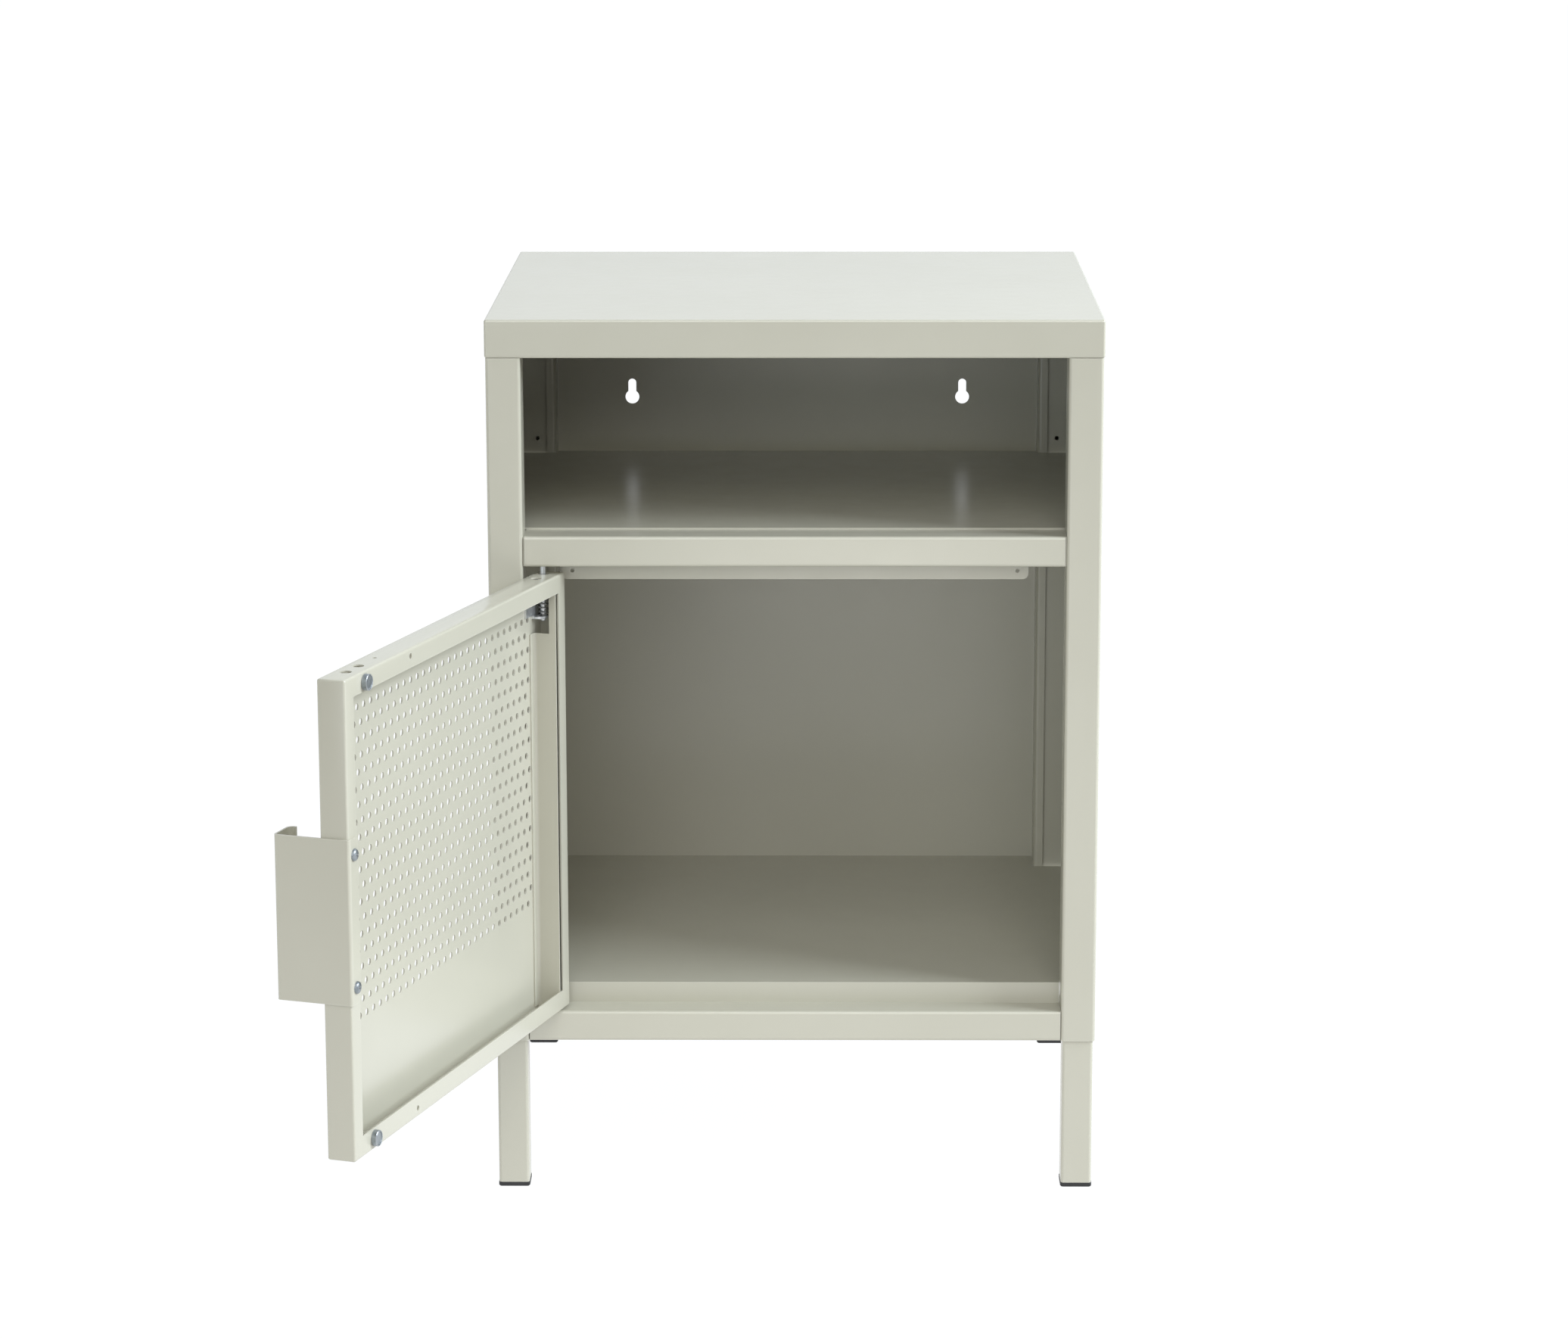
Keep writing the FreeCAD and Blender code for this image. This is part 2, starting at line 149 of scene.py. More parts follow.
def powder_coat():
    """Satin polyester powder: faint orange peel, fine grain, edges lighter, partly from thinner powder
    and partly a painted highlight.
    """
    finish, tree, shader, coords = new_finish("satin_powder_coat")
    cloudy = spread(tree, noise(tree, coords, COAT_CLOUDS, 3.0), 0.0, 1.0)
    tone = blend_tones(tree, cloudy, *COAT_TONES)
    # Lighter folds, cut edges and hole rims: partly thinner powder, partly a painted highlight.
    thin_powder_and_highlight = edge_wear_and_highlight_mask(tree, COAT_EDGE_WIDTH, 0.5)
    wire(tree, blend_tones(tree, thin_powder_and_highlight, tone, COAT_EDGE_THIN_POWDER_AND_HIGHLIGHT_TONE), shader.inputs["Base Color"])
    matt = spread(tree, noise(tree, coords, COAT_PATCHES, 3.0), *COAT_ROUGHNESS)
    wire(tree, matt, shader.inputs["Roughness"])
    peel = noise(tree, coords, ORANGE_PEEL, 2.0)
    grain = noise(tree, coords, COAT_GRAIN, 2.0)
    normal = bumps(tree, ((peel, 0.035, 0.0002), (grain, 0.04, 0.00005)))
    wire(tree, normal, shader.inputs["Normal"])
    shader.inputs["IOR"].default_value = COAT_GLOSS_INDEX
    return finish


COAT = powder_coat()


def finish_nodes(finish, *names):
    """These CAD nodes keep their shapes and take the finish."""
    for name in names:
        for holder in cad[name].material_slots:
            holder.link = "OBJECT"
            holder.material = finish


finish_nodes(COAT, "left_side_panel", "right_side_panel")

# ---------------------------------------------------------------------------------------------
# Back panel: a shallow steel pan between the rear columns, with two keyholes near its top that
# drop over the heads of wall screws. It is spot welded to the side panels and powder coated.
finish_nodes(COAT, "back_panel")

# ---------------------------------------------------------------------------------------------
# Legs: four 20 mm square tubes that stand inside the columns up to the cap, powder coated with
# the body. The rear pair has a small drilled hole just above the shelf.
finish_nodes(COAT, *[f"leg_{row}_{side}" for row in ("front", "rear") for side in ("left", "right")])

# ---------------------------------------------------------------------------------------------
# Feet: black polyethylene glides, each a ribbed plug pushed into a leg's tube and a flange a
# little wider than the tube, with its lower edges chamfered.
GLIDE_TONES = ((0.012, 0.012, 0.013, 1), (0.022, 0.022, 0.023, 1))
FLANGE_HEIGHT = 0.003
FLANGE_CORNER = 0.002
FLANGE_CHAMFER = 0.0007
FLANGE_ROUND = 0.0003
SHOULDER = 0.0018
PLUG_HEIGHT = 0.018
PLUG_TAPER = 0.001
RIBS = 4
RIB_PITCH = 0.003
RIB_HEIGHT = 0.0004


def rounded_outline(x0, x1, y0, y1, radius, steps=4):
    """Points round a rectangle with rounded corners, anticlockwise from the low right corner."""
    points = []
    turn = -90
    for x, y in ((x1 - radius, y0 + radius), (x1 - radius, y1 - radius),
                 (x0 + radius, y1 - radius), (x0 + radius, y0 + radius)):
        for step in range(steps + 1):
            angle = radians(turn + 90 * step / steps)
            points.append((x + radius * cos(angle), y + radius * sin(angle)))
        turn += 90
    return points


def loft(bm, rings, skip=()):
    """Bands of quads between closed rings; skip holds the (band, side) pairs left open."""
    rows = [[bm.verts.new(point) for point in ring] for ring in rings]
    for band, (low, high) in enumerate(zip(rows, rows[1:])):
        for side in range(len(low)):
            if (band, side) not in skip:
                after = (side + 1) % len(low)
                bm.faces.new((low[side], low[after], high[after], high[side]))
    return rows


def new_piece(name, bm, finish, crisp=35):
    """Object from a bmesh, smooth over its curves and crisp at its folds and cut edges."""
    bm.normal_update()
    for face in bm.faces:
        face.smooth = True
    for edge in bm.edges:
        edge.smooth = edge.calc_face_angle(0.0) < radians(crisp)
    mesh = bpy.data.meshes.new(name)
    bm.to_mesh(mesh)
    bm.free()
    mesh.materials.append(finish)
    made = bpy.data.objects.new(name, mesh)
    bpy.context.scene.collection.objects.link(made)
    return made


def new_tree(name, *sockets):
    """Geometry Nodes tree with these named inputs and one geometry output."""
    tree = bpy.data.node_groups.new(name, "GeometryNodeTree")
    for label, kind in sockets:
        tree.interface.new_socket(label, in_out="INPUT", socket_type="NodeSocket" + kind)
    tree.interface.new_socket("Geometry", in_out="OUTPUT", socket_type="NodeSocketGeometry")
    return tree, tree.nodes.new("NodeGroupInput").outputs


def finish_tree(tree, geometry, material):
    """The tree's last steps: Realize Instances and Set Material."""
    realized = tree.nodes.new("GeometryNodeRealizeInstances")
    wire(tree, geometry, realized.inputs["Geometry"])
    painted = tree.nodes.new("GeometryNodeSetMaterial")
    wire(tree, realized.outputs["Geometry"], painted.inputs["Geometry"])
    wire(tree, material, painted.inputs["Material"])
    wire(tree, painted.outputs["Geometry"], tree.nodes.new("NodeGroupOutput").inputs[0])


def copies_at(tree, points, template):
    """Instances of the template object on the points."""
    info = tree.nodes.new("GeometryNodeObjectInfo")
    wire(tree, template, info.inputs["Object"])
    info.inputs["As Instance"].default_value = True
    placed = tree.nodes.new("GeometryNodeInstanceOnPoints")
    wire(tree, points, placed.inputs["Points"])
    wire(tree, info.outputs["Geometry"], placed.inputs["Instance"])
    return placed.outputs["Instances"]


def grow(name, tree, settings, template=None):
    """Plain mesh object made by a tree; the template it copies is thrown away."""
    made = bpy.data.objects.new(name, bpy.data.meshes.new(name))
    bpy.context.scene.collection.objects.link(made)
    maker = made.modifiers.new("maker", "NODES")
    maker.node_group = tree
    for item in tree.interface.items_tree:
        if item.in_out == "INPUT":
            maker[item.identifier] = settings[item.name]
    drawn = made.evaluated_get(bpy.context.evaluated_depsgraph_get())
    made.data = bpy.data.meshes.new_from_object(drawn)
    made.modifiers.remove(maker)
    if template:
        bpy.data.objects.remove(template)
    return made


def moulded_plastic():
    """Black injection-moulded plastic with a fine spark-eroded grain."""
    finish, tree, shader, coords = new_finish("black_glide_plastic")
    wire(tree, blend_tones(tree, noise(tree, coords, 160.0, 3.0), *GLIDE_TONES),
         shader.inputs["Base Color"])
    wire(tree, spread(tree, noise(tree, coords, 300.0, 2.0), 0.42, 0.6), shader.inputs["Roughness"])
    normal = bumps(tree, ((noise(tree, coords, 3000.0, 2.0), 0.3, 0.00005),))
    wire(tree, normal, shader.inputs["Normal"])
    return finish


def glide(half):
    """One glide about the origin, standing on the floor."""
    bm = bmesh.new()
    levels = [(0.0, FLANGE_CHAMFER), (FLANGE_CHAMFER, 0.0), (FLANGE_HEIGHT - FLANGE_ROUND, 0.0),
              (FLANGE_HEIGHT, FLANGE_ROUND), (FLANGE_HEIGHT, SHOULDER)]
    for rib in range(RIBS):
        start = FLANGE_HEIGHT + 0.001 + rib * RIB_PITCH
        levels += [(start, SHOULDER), (start + 0.0012, SHOULDER),
                   (start + 0.0013, SHOULDER + RIB_HEIGHT),
                   (start + RIB_PITCH - 0.0005, SHOULDER + RIB_HEIGHT)]
    levels += [(PLUG_HEIGHT - PLUG_TAPER, SHOULDER), (PLUG_HEIGHT, SHOULDER + PLUG_TAPER)]
    rings = []
    for z, inset in levels:
        size = half - inset
        corner = max(FLANGE_CORNER - inset, 0.0005)
        rings.append([(x, y, z) for x, y in rounded_outline(-size, size, -size, size, corner)])
    rows = loft(bm, rings)
    bm.faces.new(rows[0][::-1])
    bm.faces.new(rows[-1])
    bmesh.ops.recalc_face_normals(bm, faces=bm.faces)
    return new_piece("glide_template", bm, GLIDE_PLASTIC)


def four_corners_tree():
    """The template copied to the four corners of a rectangle on the floor."""
    tree, given = new_tree("four_corner_glides", ("Glide", "Object"), ("Spacing Across", "Float"),
                           ("Spacing Deep", "Float"), ("Middle", "Vector"), ("Plastic", "Material"))
    corners = add_node(tree, "GeometryNodeMeshGrid", Vertices_X=2, Vertices_Y=2)
    wire(tree, given["Spacing Across"], corners.inputs["Size X"])
    wire(tree, given["Spacing Deep"], corners.inputs["Size Y"])
    moved = tree.nodes.new("GeometryNodeSetPosition")
    wire(tree, corners.outputs["Mesh"], moved.inputs["Geometry"])
    wire(tree, given["Middle"], moved.inputs["Offset"])
    copies = copies_at(tree, moved.outputs["Geometry"], given["Glide"])
    finish_tree(tree, copies, given["Plastic"])
    return tree


GLIDE_PLASTIC = moulded_plastic()
foot_low, foot_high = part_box("foot_front_left")
far_low, far_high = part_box("foot_rear_right")
template = glide((foot_high.x - foot_low.x) / 2)
feet = grow("foot_glides", four_corners_tree(), {
    "Glide": template,
    "Spacing Across": far_low.x - foot_low.x,
    "Spacing Deep": far_low.y - foot_low.y,
    "Middle": ((foot_low.x + far_high.x) / 2, (foot_low.y + far_high.y) / 2, 0.0),
    "Plastic": GLIDE_PLASTIC,
}, template)
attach(feet, "cabinet")
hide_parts("foot_front_left", "foot_front_right", "foot_rear_left", "foot_rear_right")

# ---------------------------------------------------------------------------------------------
# Bottom rail and floor pan: a folded channel across the foot of the body, whose ledge carries
# the door's lower pivot, and the raised floor sheet behind it. Both are welded and coated.
finish_nodes(COAT, "bottom_front_rail", "floor_tray")

# ---------------------------------------------------------------------------------------------
# Shelf: its front rail, a folded channel like the bottom one, the flat pan that rests on it, and
# the angle behind the rail that the door's upper magnet closes on.
finish_nodes(COAT, "shelf_front_rail", "shelf", "strike_bar")

# ---------------------------------------------------------------------------------------------
# Cap: a shallow folded tray turned upside down over the columns, its corners welded and ground
# round before coating.
finish_nodes(COAT, "top_panel")

# ---------------------------------------------------------------------------------------------
# Door: one 1 mm sheet folded into a tray, open towards the cabinet, its corners welded and
# ground. Its upper part is perforated with staggered round holes, twenty rows of them.
DOOR_WIDTH = 0.348
DOOR_DEPTH = 0.018
DOOR_SHEET = 0.001
FOLD = 0.0014
RETURN = 0.012
RETURN_LOW = 0.013
FOLD_STEPS = 5
CORNER_STEPS = 4
PITCH = 0.010
BORE = 0.0046
BORE_STEPS = 16
EDGE_HOLE_STEPS = 24
MERGE_GAP = 1e-5
FINE_GAP = 2e-6
ROWS = 20
HOLES = 31
FIRST_HOLE = (0.024, 0.3894)
HINGE_EDGE = (-0.0095, -0.0062)
TOP_HOLES = ((0.0095, 0.007, 0.00375), (0.0265, 0.0085, 0.0035), (0.284, 0.0085, 0.0015),
             (0.3076, 0.0085, 0.00375), (0.3254, 0.0085, 0.00375))
PIVOT_HOLE = (0.0095, 0.0062, 0.0025)
RETURN_HOLES = ((0.252, 0.413, 0.00175), (0.254, 0.1294, 0.00175))

hinge = next(joint for joint in frame["joints"] if joint["name"] == "door_hinge")
axis_place = Vector((hinge["pos_m"][0], hinge["pos_m"][1], 0.0))
hung = (Matrix.Translation(axis_place) @ Matrix.Rotation(radians(min(hinge["range_deg"])), 4, "Z")
        @ Matrix.Translation((*HINGE_EDGE, 0.0)))


def hole_cell():
    """One square of sheet round one hole, its sides cut to meet a neighbour moved half a pitch."""
    bm = bmesh.new()
    half = PITCH / 2
    square = []
    for side in range(4):
        for step in range(4):
            x, y = half, -half + PITCH * step / 4
            for _ in range(side):
                x, y = -y, x
            square.append((x, y))
    turns = [radians(360 / BORE_STEPS * i - 45) for i in range(BORE_STEPS)]
    round_hole = [(cos(turn) * BORE / 2, sin(turn) * BORE / 2) for turn in turns]
    rings = [[(x, depth, y) for x, y in outline] for outline, depth in (
        (square, 0.0), (round_hole, 0.0), (round_hole, DOOR_SHEET), (square, DOOR_SHEET))]
    loft(bm, rings)
    return new_piece("hole_template", bm, COAT)


def perforation_tree():
    """Rows of the template, every second row one hole shorter and moved half a pitch."""
    tree, given = new_tree("staggered_perforation", ("Hole", "Object"), ("Row Pairs", "Int"),
                           ("Holes in Long Row", "Int"), ("Pitch", "Float"), ("Coat", "Material"))

    def vector(x=None, z=None):
        """So many pitches along x and z."""
        made = tree.nodes.new("ShaderNodeCombineXYZ")
        for axis, factor in ((0, x), (2, z)):
            if factor:
                scaled = add_node(tree, "ShaderNodeMath")
                scaled.operation = "MULTIPLY"
                scaled.inputs[1].default_value = factor
                wire(tree, given["Pitch"], scaled.inputs[0])
                wire(tree, scaled.outputs[0], made.inputs[axis])
        return made.outputs[0]

    def line(count, offset, start=None):
        """Evenly spaced points from a start."""
        made = tree.nodes.new("GeometryNodeMeshLine")
        wire(tree, count, made.inputs["Count"])
        wire(tree, offset, made.inputs["Offset"])
        if start:
            wire(tree, start, made.inputs["Start Location"])
        return made.outputs["Mesh"]

    shorter = tree.nodes.new("ShaderNodeMath")
    shorter.operation = "SUBTRACT"
    shorter.inputs[1].default_value = 1.0
    wire(tree, given["Holes in Long Row"], shorter.inputs[0])
    joined = tree.nodes.new("GeometryNodeJoinGeometry")
    down_two = vector(z=-2.0)
    for count, start in ((given["Holes in Long Row"], None), (shorter.outputs[0], vector(0.5, -1.0))):
        row = copies_at(tree, line(count, vector(1.0)), given["Hole"])
        stacked = tree.nodes.new("GeometryNodeInstanceOnPoints")
        wire(tree, line(given["Row Pairs"], down_two, start), stacked.inputs["Points"])
        wire(tree, row, stacked.inputs["Instance"])
        wire(tree, stacked.outputs["Instances"], joined.inputs["Geometry"])
    finish_tree(tree, joined.outputs["Geometry"], given["Coat"])
    return tree


def tray_section():
    """(inset, depth) round one fold, from the outer skin over the return to the inner skin."""
    def bend(inset, depth, radius, start, end):
        """Points round one bend, between two angles."""
        angles = [radians(start + (end - start) * i / FOLD_STEPS) for i in range(FOLD_STEPS + 1)]
        return [(inset + radius * cos(a), depth + radius * sin(a)) for a in angles]
    tight = FOLD - DOOR_SHEET
    back = DOOR_DEPTH - FOLD
    return (bend(FOLD, FOLD, FOLD, 270, 180) + bend(FOLD, back, FOLD, 180, 90)
            + [(RETURN, DOOR_DEPTH), (RETURN, DOOR_DEPTH - DOOR_SHEET)]
            + bend(FOLD, back, tight, 90, 180) + bend(FOLD, FOLD, tight, 180, 270))


def door_skin(bottom, top):
    """The tray and its perforated field as one closed mesh, in the door's own coordinates."""
    bm = bmesh.new()
    template = hole_cell()
    field = grow("perforated_field", perforation_tree(), {
        "Hole": template, "Row Pairs": ROWS // 2, "Holes in Long Row": HOLES, "Pitch": PITCH,
        "Coat": COAT}, template)
    bm.from_mesh(field.data)
    bpy.data.objects.remove(field)
    bmesh.ops.translate(bm, verts=bm.verts, vec=(FIRST_HOLE[0], 0.0, FIRST_HOLE[1]))
    bmesh.ops.remove_doubles(bm, verts=bm.verts, dist=MERGE_GAP)

    section = tray_section()
    rings = []
    for inset, depth in section:
        low = RETURN_LOW if inset == RETURN else inset
        outline = rounded_outline(inset, DOOR_WIDTH - inset, bottom + low, top - inset,
                                  max(FOLD - inset, 0.0), CORNER_STEPS)
        rings.append([(x, depth, y) for x, y in outline])
    sides = CORNER_STEPS + 1
    lower_side, upper_side = 4 * sides - 1, 2 * sides - 1
    outer_wall = FOLD_STEPS
    outer_return = 2 * FOLD_STEPS + 1
    inner_return = outer_return + 2
    inner_wall = inner_return + FOLD_STEPS + 1
    open_sides = [(band, side) for band in (outer_wall, outer_return, inner_return, inner_wall)
                  for side in (lower_side, upper_side)]
    rows = loft(bm, rings, open_sides)

    def loop_edges(points):
        """Edges round a new or given closed loop of vertices."""
        return [bm.edges.get((a, b)) or bm.edges.new((a, b))
                for a, b in zip(points, points[1:] + points[:1])]

    def bored(side, outer_band, inner_band, circles):
        """Two faces of a folded edge, with round holes through both."""
        faces = []
        for band in (outer_band, inner_band):
            after = (side + 1) % len(rows[band])
            corners = [rows[band][side], rows[band][after], rows[band + 1][after], rows[band + 1][side]]
            faces.append(loop_edges(corners))
        for outer, inner in circles:
            first, second = ([bm.verts.new(point) for point in circle] for circle in (outer, inner))
            faces[0] += loop_edges(first)
            faces[1] += loop_edges(second)
            for i in range(len(first)):
                j = (i + 1) % len(first)
                bm.faces.new((first[i], first[j], second[j], second[i]))
        for edges in faces:
            bmesh.ops.triangle_fill(bm, use_beauty=True, edges=edges)

    def circle(x, y, radius, place):
        """A circle, each point placed from its two flat coordinates."""
        angles = [2 * pi * i / EDGE_HOLE_STEPS for i in range(EDGE_HOLE_STEPS)]
        return [place(x + radius * cos(a), y + radius * sin(a)) for a in angles]

    def through_wall(holes, outside, inside):
        """Rims of holes through the tray's upper or lower wall."""
        return [(circle(*hole, lambda x, y: (x, y, outside)), circle(*hole, lambda x, y: (x, y, inside)))
                for hole in holes]

    def through_return(hole):
        """Rims of a hole through the fold that lies along the wall's inner edge."""
        return [(circle(*hole, lambda x, y: (x, DOOR_DEPTH, y)),
                 circle(*hole, lambda x, y: (x, DOOR_DEPTH - DOOR_SHEET, y)))]

    bored(upper_side, outer_wall, inner_wall, through_wall(TOP_HOLES, top, top - DOOR_SHEET))
    bored(lower_side, outer_wall, inner_wall,
          through_wall([PIVOT_HOLE], bottom, bottom + DOOR_SHEET))
    bored(upper_side, outer_return, inner_return, through_return(RETURN_HOLES[0]))
    bored(lower_side, outer_return, inner_return, through_return(RETURN_HOLES[1]))
    bmesh.ops.remove_doubles(bm, verts=bm.verts, dist=FINE_GAP)
    for depth in (0.0, DOOR_SHEET):
        rim = [edge for edge in bm.edges if edge.is_boundary
               and all(abs(vert.co.y - depth) < 1e-6 for vert in edge.verts)]
        bmesh.ops.triangle_fill(bm, use_beauty=True, edges=rim)
    bmesh.ops.recalc_face_normals(bm, faces=bm.faces)
    return bm


panel_low, panel_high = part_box("door_panel")
bm = door_skin(panel_low.z, panel_high.z)
bm.transform(hung)
door = new_piece("perforated_door", bm, COAT)
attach(door, "door")
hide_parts("door_panel")

# ---------------------------------------------------------------------------------------------
# Stiffener: an angle welded up the hinge side of the door, cut back at its top to clear the
# spring pin. It is coated with the door.
finish_nodes(COAT, "door_stiffener")

# ---------------------------------------------------------------------------------------------
# Pivot hardware: the bracket that guides the sliding top pin, the pin with its retaining ring,
# and the shouldered pin at the bottom. They are bright zinc-plated steel.
ZINC_TONES = ((0.64, 0.66, 0.67, 1), (0.70, 0.72, 0.73, 1))
# Edge tone: partly worn plating, partly a painted highlight on the edges.
ZINC_EDGE_WEAR_AND_HIGHLIGHT_TONE = (0.78, 0.79, 0.80, 1)
ZINC_ROUGHNESS = (0.31, 0.36)
ZINC_SPANGLE = 900.0


def zinc_plate():
    """Bright zinc: cool grey metal with faint cloudy spangle, its edges lighter, partly worn plating and
    partly a painted highlight.
    """
    finish, tree, shader, coords = new_finish("bright_zinc_plate")
    spangle = tree.nodes.new("ShaderNodeTexVoronoi")
    spangle.inputs["Scale"].default_value = ZINC_SPANGLE
    wire(tree, coords, spangle.inputs["Vector"])
    cloudy = noise(tree, coords, 380.0, 4.0)
    tone = blend_tones(tree, spread(tree, cloudy, 0.0, 1.0), *ZINC_TONES)
    # Lighter edges: partly worn plating, partly a painted highlight.
    worn_and_highlit = edge_wear_and_highlight_mask(tree, 0.0004, 0.5)
    wire(tree, blend_tones(tree, worn_and_highlit, tone, ZINC_EDGE_WEAR_AND_HIGHLIGHT_TONE), shader.inputs["Base Color"])
    shader.inputs["Metallic"].default_value = 0.85
    wire(tree, spread(tree, cloudy, *ZINC_ROUGHNESS), shader.inputs["Roughness"])
    brushed = noise(tree, coords, 2200.0, 3.0)
    normal = bumps(tree, ((spangle.outputs["Distance"], 0.10, 0.00005), (brushed, 0.15, 0.00004)))
    wire(tree, normal, shader.inputs["Normal"])
    return finish


ZINC = zinc_plate()
finish_nodes(ZINC, "hinge_bracket", "top_hinge_pin", "pin_clip", "bottom_hinge_pin")

# ---------------------------------------------------------------------------------------------
# Spring: oil-tempered steel wire coiled round the top pin, its end turns closed, pressed between
# the bracket's lower ear and the ring. It shortens as the pin is drawn down.
SPRING_TONES = ((0.20, 0.20, 0.20, 1), (0.34, 0.34, 0.33, 1))
WIRE_RADIUS = 0.0004
COIL_RADIUS = 0.0031
TURNS = 9.5
STEPS_A_TURN = 24
WIRE_STEPS = 10


def spring_wire():
    """Dark drawn wire with fine die lines along it."""
    finish, tree, shader, coords = new_finish("oil_tempered_wire")
    stain = noise(tree, coords, 700.0, 4.0)
    wire(tree, blend_tones(tree, spread(tree, stain, 0.0, 1.0), *SPRING_TONES),
         shader.inputs["Base Color"])
    shader.inputs["Metallic"].default_value = 1.0
    wire(tree, spread(tree, stain, 0.28, 0.45), shader.inputs["Roughness"])
    normal = bumps(tree, ((noise(tree, coords, 5000.0, 2.0), 0.2, 0.00003),))
    wire(tree, normal, shader.inputs["Normal"])
    return finish


def coil_tree():
    """Round wire along a helix whose first and last half turns lie level."""
    tree, given = new_tree("closed_end_coil", ("Turns", "Float"), ("Coil Radius", "Float"),
                           ("Wire Radius", "Float"), ("Low", "Float"), ("High", "Float"),
                           ("Centre", "Vector"), ("Wire", "Material"))
    helix = add_node(tree, "GeometryNodeCurveSpiral", Resolution=STEPS_A_TURN, Height=0.0)
    wire(tree, given["Turns"], helix.inputs["Rotations"])
    wire(tree, given["Coil Radius"], helix.inputs["Start Radius"])
    wire(tree, given["Coil Radius"], helix.inputs["End Radius"])
    along = tree.nodes.new("GeometryNodeSplineParameter")
    dead = 0.5 / TURNS
    rise = add_node(tree, "ShaderNodeMapRange", From_Min=dead, From_Max=1.0 - dead)
    wire(tree, along.outputs["Factor"], rise.inputs["Value"])
    wire(tree, given["Low"], rise.inputs["To Min"])
    wire(tree, given["High"], rise.inputs["To Max"])
    lift = tree.nodes.new("ShaderNodeCombineXYZ")
    wire(tree, rise.outputs["Result"], lift.inputs["Z"])
    place = tree.nodes.new("ShaderNodeVectorMath")
    wire(tree, lift.outputs[0], place.inputs[0])
    wire(tree, given["Centre"], place.inputs[1])
    raised = tree.nodes.new("GeometryNodeSetPosition")
    wire(tree, helix.outputs["Curve"], raised.inputs["Geometry"])
    wire(tree, place.outputs[0], raised.inputs["Offset"])
    wire_section = add_node(tree, "GeometryNodeCurvePrimitiveCircle", Resolution=WIRE_STEPS)
    wire(tree, given["Wire Radius"], wire_section.inputs["Radius"])
    swept = add_node(tree, "GeometryNodeCurveToMesh", Fill_Caps=True)
    wire(tree, raised.outputs["Geometry"], swept.inputs["Curve"])
    wire(tree, wire_section.outputs["Curve"], swept.inputs["Profile Curve"])
    finish_tree(tree, swept.outputs["Mesh"], given["Wire"])
    return tree


WIRE = spring_wire()
coil_low, coil_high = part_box("hinge_spring")
spring = grow("hinge_spring_coil", coil_tree(), {
    "Turns": TURNS, "Coil Radius": COIL_RADIUS, "Wire Radius": WIRE_RADIUS,
    "Low": coil_low.z + WIRE_RADIUS, "High": coil_high.z - WIRE_RADIUS,
    "Centre": (axis_place.x, axis_place.y, 0.0), "Wire": WIRE})
for face in spring.data.polygons:
    face.use_smooth = True
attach(spring, "door")
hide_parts("hinge_spring")
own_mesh(spring)

# ---------------------------------------------------------------------------------------------
# Magnets: two small cup magnets on the door's inner fold, near its free corners. Each is a steel
# cup with the magnet disc sunk in its mouth, plated dull nickel and riveted by a stud at its back.
MAGNET_SECTION = ((0.0, 0.0029), (0.0037, 0.0029), (0.0039, 0.0027), (0.0041, 0.0027),
                  (0.0042, 0.0033), (0.0044, 0.0034), (0.0047, 0.0034), (0.0050, 0.0031),
                  (0.0050, 0.0002), (0.0048, 0.0), (0.0015, 0.0), (0.0015, -0.0025), (0.0, -0.0025))
MAGNET_SIDE = 0.3198
LATHE_STEPS = 40
TURNED_CRISP = 25
NICKEL_TONES = ((0.24, 0.27, 0.29, 1), (0.32, 0.35, 0.37, 1))
# Rim tone: partly worn plating, partly a painted highlight on the rims.
NICKEL_EDGE_WEAR_AND_HIGHLIGHT_TONE = (0.72, 0.74, 0.75, 1)
NICKEL_ROUGHNESS = (0.30, 0.40)


def lathe(bm, section, steps):
    """Round part turned about the Y axis from (radius, depth) pairs, closed at both ends."""
    rings = []
    for radius, depth in section:
        angles = [2 * pi * i / steps for i in range(steps)]
        rings.append([(radius * cos(a), depth, radius * sin(a)) for a in angles])
    loft(bm, rings)
    bmesh.ops.remove_doubles(bm, verts=bm.verts, dist=1e-7)
    bmesh.ops.recalc_face_normals(bm, faces=bm.faces)


def pair_tree(name):
    """The template copied to a place and once more, straight above it."""
    tree, given = new_tree(name, ("Part", "Object"), ("Place", "Vector"), ("Rise", "Float"),
                           ("Metal", "Material"))
    up = tree.nodes.new("ShaderNodeCombineXYZ")
    wire(tree, given["Rise"], up.inputs["Z"])
    both = add_node(tree, "GeometryNodeMeshLine", Count=2)
    wire(tree, given["Place"], both.inputs["Start Location"])
    wire(tree, up.outputs[0], both.inputs["Offset"])
    finish_tree(tree, copies_at(tree, both.outputs["Mesh"], given["Part"]), given["Metal"])
    return tree


def door_pair(name, template, place, rise, metal):
    """Two like parts on the door, given in its own coordinates, one straight above the other."""
    made = grow(name, pair_tree(name + "_rule"), {
        "Part": template, "Place": place, "Rise": rise, "Metal": metal}, template)
    made.data.transform(hung)
    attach(made, "door")
    return made


def middle(node):
    """Middle of a CAD node's box."""
    low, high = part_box(node)
    return (low + high) / 2


